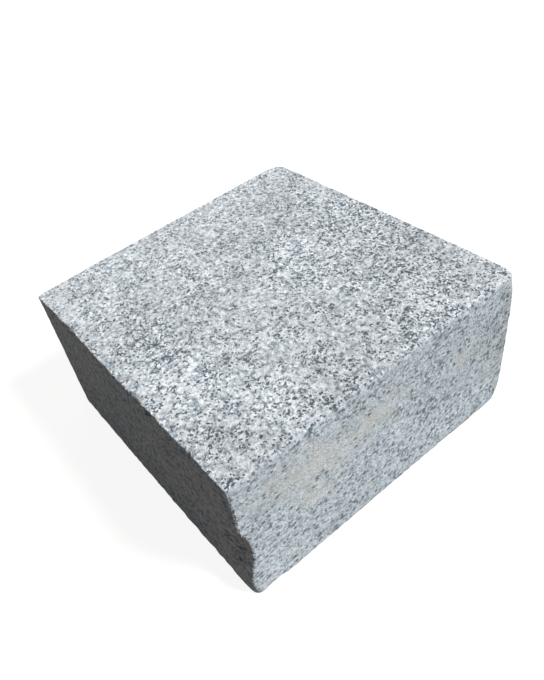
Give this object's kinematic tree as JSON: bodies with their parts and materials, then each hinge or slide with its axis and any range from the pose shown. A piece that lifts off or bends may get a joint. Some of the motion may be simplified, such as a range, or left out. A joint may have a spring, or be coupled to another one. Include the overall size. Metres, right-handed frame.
{
  "type": "granite paving sett",
  "caption": "Square flat block of light grey granite for paving, with a rough flamed top, sawn sides, worn arrises and a spalled corner.",
  "frame": {"origin": "middle of the bed face, on which the sett lies", "axes": "+Z from the bed face up to the flamed top, +X along the length, +Y along the width; the spalled upright corner is the one at -X -Y"},
  "size_m": [0.2, 0.2, 0.1],
  "materials": {
    "granite": "flamed top, sawn sides, dusty"
  },
  "bodies": {
    "root": {"sett": "granite"}
  },
  "joints": []
}
